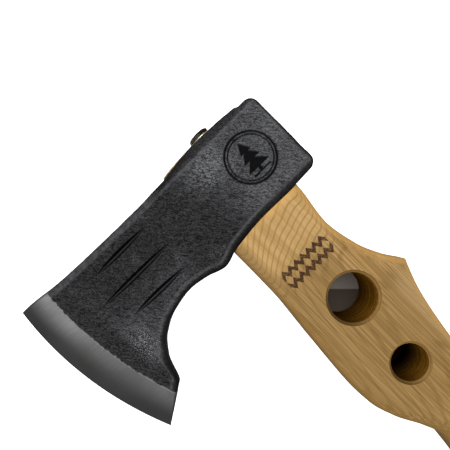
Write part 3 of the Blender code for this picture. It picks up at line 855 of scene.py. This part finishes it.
def collar_rise(y, z, normals):
    """How far the top wall is drawn up into the collar round the eye."""
    on_top = step_between(0.6, 0.9, normals[:, 0]) * (1 - step_between(40.0, 60.0, y))
    square_end = np.maximum(np.abs(z) - EYE_HALF_WIDTH, COLLAR_REAR_Y - y)
    round_end = eye_distance(y, z) - 1.5 * step_between(10.0, 40.0, y)
    away = np.where(y < EYE_CENTRE_Y, square_end, round_end)
    drop = np.where(y < COLLAR_CROWN_Y, 0.75, 0.40)
    crown = 1 - drop * np.clip(np.abs(y - COLLAR_CROWN_Y) / 30.0, 0, 1) ** 2
    return COLLAR_HEIGHT * crown * (1 - step_between(2.8, 6.4, away)) * on_top


def past_bevel_line(x, y):
    """How far a point lies beyond the line where the grinding starts, in millimetres."""
    line_low, line_top = float(underside(BEVEL_HEEL)), float(smooth(TOP_EDGE, BEVEL_TOE))
    s = np.clip((x - line_low) / (line_top - line_low), -0.1, 1.1)
    return y - (lerp(BEVEL_HEEL, BEVEL_TOE, s) + BEVEL_SAGITTA * (1 - (2 * s - 1) ** 2))


def rim_masks(x, y, dents):
    """Painted shade on the rounded rim of the head, and the pale line beside it: edge wear, and towards the
    blade painted light on the upper edge.
    """
    inwards = np.minimum(outline_distance(x, y), 1.8 * (y - POLL_Y))
    upper = step_between(-5.0, 10.0, x)
    wider = 0.8 * upper + 2.0 * (1 - upper) * (1 - step_between(-12.0, 12.0, y))
    rim = (1 - step_between(1.6, 2.9, inwards - wider + 0.4 * dents)) * (1 - 0.30 * upper)
    # towards the blade the upper edge is painted pale, as painted light, and keeps little of the painted rim
    # shade
    painted_pale_top = upper * step_between(26.0, 38.0, y)
    wear_and_painted_light = step_between(2.6, 3.4, inwards) * (1 - step_between(3.7, 4.9, inwards))
    wear_and_painted_light = np.maximum(wear_and_painted_light, painted_pale_top * (1 - step_between(3.2, 4.6, inwards)))
    return rim * (1 - 0.75 * painted_pale_top), wear_and_painted_light, painted_pale_top


def build_head():
    head = head_mesh()
    points = coordinates(head)
    normals = point_normals(head)
    x, y, z = points.T
    beyond = past_bevel_line(x, y)
    forged = 1 - step_between(-0.6, 0.2, beyond)
    on_cheek = step_between(0.7, 0.9, np.abs(normals[:, 2]))
    mark = tree_mark(x, y) * on_cheek * (z > 0)
    dents = noise_at(points, 9.0, 1.0)
    pits = noise_at(points, 2.4, 2.0)
    relief = forged * (DENT_HEIGHT * dents + PIT_HEIGHT * pits - SKIN_SUNK)
    relief -= GROOVE_DEPTH * groove_mask(x, y) * on_cheek + MARK_DEPTH * mark
    moved = points + normals * relief[:, None]
    moved[:, 0] += collar_rise(y, z, normals)
    low, high = HEAD_LOW - [0, 0, MIDDLE_Z], HEAD_HIGH - [0, 0, MIDDLE_Z]
    move_to(head, np.clip(moved, low, high + [COLLAR_ROOM, 0, 0]))

    rim, wear_and_painted_light, painted_pale_top = rim_masks(moved[:, 0], moved[:, 1], dents)
    add_attribute(head, "bevel", np.clip(beyond / BEVEL_RANGE, -1.0, 1.0))
    add_attribute(head, "engraved", mark)
    # mask of the painted shade on the rounded rim
    add_attribute(head, "rim", rim * forged)
    # mask of the pale line: edge wear, and painted light on the upper edge towards the blade
    add_attribute(head, "wear_and_painted_light_line", wear_and_painted_light * forged * np.maximum(on_cheek, 0.8 * painted_pale_top))
    head.data.materials.append(forged_steel())

    # the eye runs through the head and is chamfered at both ends
    bore = []
    for level, grow in ((-45.0, 1.2), (-26.0, 1.0), (-22.5, 0.0), (24.6, 0.0), (26.3, 0.9), (30.0, 3.5)):
        loop = teardrop(full_turn(96), grow)
        bore.append(np.column_stack([np.full(len(loop), level), loop]))
    tool = loft("eye_tool", bore)
    tool.data.materials.append(head.data.materials[0])
    cut(head, tool)
    shade(head, 40)
    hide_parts("forged_head")
    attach(head, "root")


# ---------------------------------------------------------------- handle

def handle_section(x):
    """Loop of the handle at a distance along it, in the y-z plane."""
    y0, y1 = float(smooth(HANDLE_REAR, x)), float(smooth(HANDLE_FRONT, x))
    half = float(smooth(HANDLE_HALF_THICKNESS, x))
    roundness = float(step_between(0.0, GRIP_BLEND, GRIP_FROM_X - x))
    radius_y = lerp(SLAB_CORNER, 0.42 * (y1 - y0), roundness)
    radius_z = lerp(SLAB_CORNER, 0.92 * half, roundness)
    fy, fz, angle = section_pattern(*HANDLE_STEPS)
    y = (y0 + y1) / 2 + ((y1 - y0) / 2 - radius_y) * fy + radius_y * np.cos(angle)
    z = (half - radius_z) * fz + radius_z * np.sin(angle)
    return np.stack([y, z], axis=1)


def tenon_section(section):
    """Teardrop section of the tenon with a point for each point of a handle section."""
    y, z = (section[:, 0] - EYE_CENTRE_Y) / SHOULDER_HALF_LENGTH, section[:, 1] / HALF_HANDLE
    return teardrop(np.arctan2(z, y), -GAP)


def handle_mesh():
    first = handle_section(SHOULDER_X)
    tenon = tenon_section(first)
    count = len(first)
    loops = []
    for x, shrink in ((TENON_TOP_X, 0.985), (TENON_TOP_X - 0.35, 1.0)):
        centre = np.array([EYE_CENTRE_Y, 0.0])
        loops.append(np.column_stack([np.full(count, x), centre + (tenon - centre) * shrink]))
    for x in np.linspace(TENON_TOP_X - 3.0, -18.0, 8):
        loops.append(np.column_stack([np.full(count, x), tenon]))
    for t in (0.0, 0.5, 1.0):
        ring = lerp(tenon, first, t)
        loops.append(np.column_stack([underside(ring[:, 0]) - GAP, ring]))
    # the loops are closest together at the point behind the large hole
    end_x = BUTT_X + BUTT_ROUNDING
    runs = ((-28.0, -76.0, 49), (-77.0, -98.0, 56), (-99.0, -180.0, 82), (-182.0, end_x, 90))
    for start, end, steps in runs:
        for x in np.linspace(start, end, steps):
            loops.append(np.column_stack([np.full(count, x), handle_section(x)]))
    last = handle_section(end_x)
    centre = last.mean(axis=0)
    for angle in np.linspace(0, math.pi / 2, 7)[1:]:
        x = end_x - BUTT_ROUNDING * math.sin(angle)
        reach = 1 - 0.13 * (1 - math.cos(angle))
        loops.append(np.column_stack([np.full(count, x), centre + (last - centre) * reach]))
    return loft("hatchet_handle", loops)


def hole_tool(x, y, diameter, wall_material, lip_material):
    """Cutter with the drilled wall and a chamfer at each face."""
    radius, angle, face = diameter / 2, full_turn(96), HALF_HANDLE
    profile = (
        (-face - 1.0, radius + HOLE_CHAMFER + 1.0), (-face + HOLE_CHAMFER, radius),
        (face - HOLE_CHAMFER, radius), (face + 1.0, radius + HOLE_CHAMFER + 1.0),
    )
    loops = []
    for z, r in profile:
        loops.append(np.stack([x + r * np.cos(angle), y + r * np.sin(angle), np.full(96, z)], axis=1))
    tool = loft("hole_tool", loops)
    tool.data.materials.append(wall_material)
    tool.data.materials.append(lip_material)
    for polygon in tool.data.polygons:
        is_wall = abs(polygon.center.z / MM - MIDDLE_Z) < face - HOLE_CHAMFER - 0.1
        polygon.material_index = 0 if is_wall else 1
    return tool


def kerf_loops():
    """Ends of the sawn kerf in the tenon, which narrows like the wedge in it."""
    start, end = EYE_CENTRE_Y - KERF_HALF_LENGTH - GAP, EYE_CENTRE_Y + KERF_HALF_LENGTH + GAP
    top_x, tip_x = TENON_TOP_X + 0.6, TENON_TOP_X - KERF_DEPTH
    loops = []
    for x, thickness in ((top_x, WEDGE_TOP_THICKNESS), (tip_x, WEDGE_TIP_THICKNESS)):
        half = thickness / 2 + GAP
        loops.append([(x, start, -half), (x, end, -half), (x, end, half), (x, start, half)])
    return loops


def build_handle():
    handle = handle_mesh()
    wood = ash_wood("oiled_ash")
    handle.data.materials.append(wood)
    wall = drilled_wood("drilled_ash", *HOLE_WALL)
    lip = drilled_wood("chamfered_ash", *HOLE_LIP)
    for x, y, diameter in HOLES:
        cut(handle, hole_tool(x, y, diameter, wall, lip))
    kerf = loft("kerf_tool", kerf_loops())
    kerf.data.materials.append(wood)
    cut(handle, kerf)
    seat = WASHER_LOW[0] - GAP
    outer = (WASHER_HIGH[1] - WASHER_LOW[1]) / 2 + GAP
    shank = SCREW_DIAMETER / 2 + GAP
    profile = ((SCREW_TIP_X - 1.0, shank), (seat, shank), (seat, outer), (TENON_TOP_X + 5.0, outer))
    bore = turned("bore_tool", profile, 48)
    bore.data.materials.append(wood)
    cut(handle, bore)
    x, y, _ = coordinates(handle).T
    normals = point_normals(handle)
    side = np.sqrt(np.clip(1 - normals[:, 2] ** 2, 0, 1))
    rear = y < (smooth(HANDLE_REAR, x) + smooth(HANDLE_FRONT, x)) / 2
    # mask for painted light on the rounded edges, stronger on the rear side
    add_attribute(handle, "rounded", step_between(0.25, 0.95, side) * np.where(rear, 1.0, 0.45))
    shade(handle, 32)
    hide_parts("handle")
    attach(handle, "root")


# ---------------------------------------------------------------- screw, washer, wedges

def build_screw():
    """Hexagon with a turned chamfer, a plain shank, and rings in place of the coarse thread."""
    seat = WASHER_HIGH[0] + GAP
    corner = HEX_ACROSS_FLATS / math.sqrt(3)
    angle = np.radians(90 + HEX_TURN + 60 * np.arange(6))
    ring = np.stack([SCREW_Y + corner * np.cos(angle), corner * np.sin(angle)], axis=1)
    loops = [np.column_stack([np.full(6, x), ring]) for x in (seat, seat + HEX_HEIGHT)]
    screw = loft("hex_lag_screw", loops)
    flat = HEX_ACROSS_FLATS / 2
    top = seat + HEX_HEIGHT
    chamfers = (
        (seat - 0.05, flat - 0.1), (seat + 0.25, corner - 0.15), (top - 0.75, corner + 0.05),
        (top, flat - 0.25),
    )
    crown = turned("crown_tool", chamfers, 64)
    plate = plated_steel("dark_plated_steel", DARK_PLATE)
    screw.data.materials.append(plate)
    crown.data.materials.append(plate)
    cut(screw, crown, "INTERSECT")
    core, crest = SCREW_CORE_DIAMETER / 2, SCREW_DIAMETER / 2
    profile = [(seat + 0.5, crest - 0.02), (seat - PLAIN_SHANK, crest)]
    x = seat - PLAIN_SHANK - 1.0
    while x - SCREW_PITCH > SCREW_TIP_X + SCREW_POINT:
        profile.extend([(x, core), (x - SCREW_PITCH / 2, crest)])
        x -= SCREW_PITCH
    profile.extend([(x, core), (SCREW_TIP_X, 0.3)])
    shank = turned("shank_tool", profile, 32)
    shank.data.materials.append(plate)
    cut(screw, shank, "UNION")
    shade(screw, 25)
    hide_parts("lag_screw")
    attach(screw, "root")


def build_washer():
    low, high = WASHER_LOW[0], WASHER_HIGH[0]
    outer = (WASHER_HIGH[1] - WASHER_LOW[1]) / 2
    bright = plated_steel("bright_plated_steel", BRIGHT_PLATE)
    profile = (
        (low, outer - 0.15), (low + 0.15, outer), (high - 0.25, outer), (high - 0.07, outer - 0.08),
        (high, outer - 0.25),
    )
    washer = turned("flat_washer", profile, 64)
    washer.data.materials.append(bright)
    inner = SCREW_DIAMETER / 2 + GAP
    bore = turned("washer_tool", ((low - 2.0, inner), (high + 2.0, inner)), 40)
    bore.data.materials.append(bright)
    cut(washer, bore)
    shade(washer, 30)
    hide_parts("screw_washer")
    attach(washer, "root")


def dress_wedges():
    wood = ash_wood("wedge_hardwood", dark=0.35)
    for name in ("eye_wedge_rear", "eye_wedge_front"):
        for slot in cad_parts[name].material_slots:
            slot.material = wood


# ---------------------------------------------------------------- floor, light, camera

def build_floor():
    place = (FLOOR_CENTRE[0] * MM, FLOOR_CENTRE[1] * MM, -FLOOR_DROP * MM)
    bpy.ops.mesh.primitive_plane_add(size=FLOOR_SIZE * MM, location=place)
    floor = bpy.context.active_object
    floor.name = "floor"
    floor.data.transform(floor.matrix_world)
    floor.matrix_world.identity()
    floor.data.materials.append(floor_material())
    floor.visible_diffuse = False
    floor.visible_glossy = False


def build_key_light():
    data = bpy.data.lights.new("key_softbox", "AREA")
    data.size = KEY_LIGHT_SIZE * MM
    data.energy = KEY_LIGHT_POWER
    lamp = bpy.data.objects.new("key_softbox", data)
    bpy.context.scene.collection.objects.link(lamp)
    lamp.location = Vector(KEY_LIGHT_AT) * MM
    aim = Vector(LIT_POINT) - Vector(KEY_LIGHT_AT)
    lamp.rotation_euler = aim.to_track_quat("-Z", "Y").to_euler()


def build_world():
    """Overhead light tent with dark sides, so that edges facing sideways stay nearly black."""
    world = bpy.data.worlds.new("studio")
    world.use_nodes = True
    nodes, links = world.node_tree.nodes, world.node_tree.links
    split = nodes.new("ShaderNodeSeparateXYZ")
    links.new(nodes.new("ShaderNodeTexCoord").outputs["Generated"], split.inputs[0])
    # each ramp maps a range of heights, from -1 below to 1 overhead, to a range of brightness
    above, below = nodes.new("ShaderNodeMapRange"), nodes.new("ShaderNodeMapRange")
    for ramp, numbers in ((above, (0.10, 0.85, 0.02, 1.0)), (below, (-0.9, -0.3, 0.3, 0.0))):
        ramp.interpolation_type = "SMOOTHSTEP"
        links.new(split.outputs["Z"], ramp.inputs[0])
        for i, number in enumerate(numbers):
            ramp.inputs[i + 1].default_value = number
    total = nodes.new("ShaderNodeMath")
    total.operation = "ADD"
    links.new(above.outputs[0], total.inputs[0])
    links.new(below.outputs[0], total.inputs[1])
    links.new(total.outputs[0], nodes["Background"].inputs["Color"])
    nodes["Background"].inputs["Strength"].default_value = WORLD_LIGHT
    bpy.context.scene.world = world


def build_camera():
    data = bpy.data.cameras.new("camera")
    data.lens, data.sensor_width = CAMERA_LENS, SENSOR_WIDTH
    data.shift_x, data.shift_y = CAMERA_SHIFT
    data.clip_start, data.clip_end = NEAREST_SEEN * MM, FARTHEST_SEEN * MM
    camera = bpy.data.objects.new("camera", data)
    bpy.context.scene.collection.objects.link(camera)
    camera.location = (CAMERA_OVER[0] * MM, CAMERA_OVER[1] * MM, (MIDDLE_Z + CAMERA_HEIGHT) * MM)
    camera.rotation_euler = (0.0, 0.0, math.radians(CAMERA_TURN))
    bpy.context.scene.camera = camera


build_camera()
build_head()
build_handle()
build_screw()
build_washer()
dress_wedges()
build_floor()
build_world()
build_key_light()
bpy.context.scene.view_settings.view_transform = "Standard"
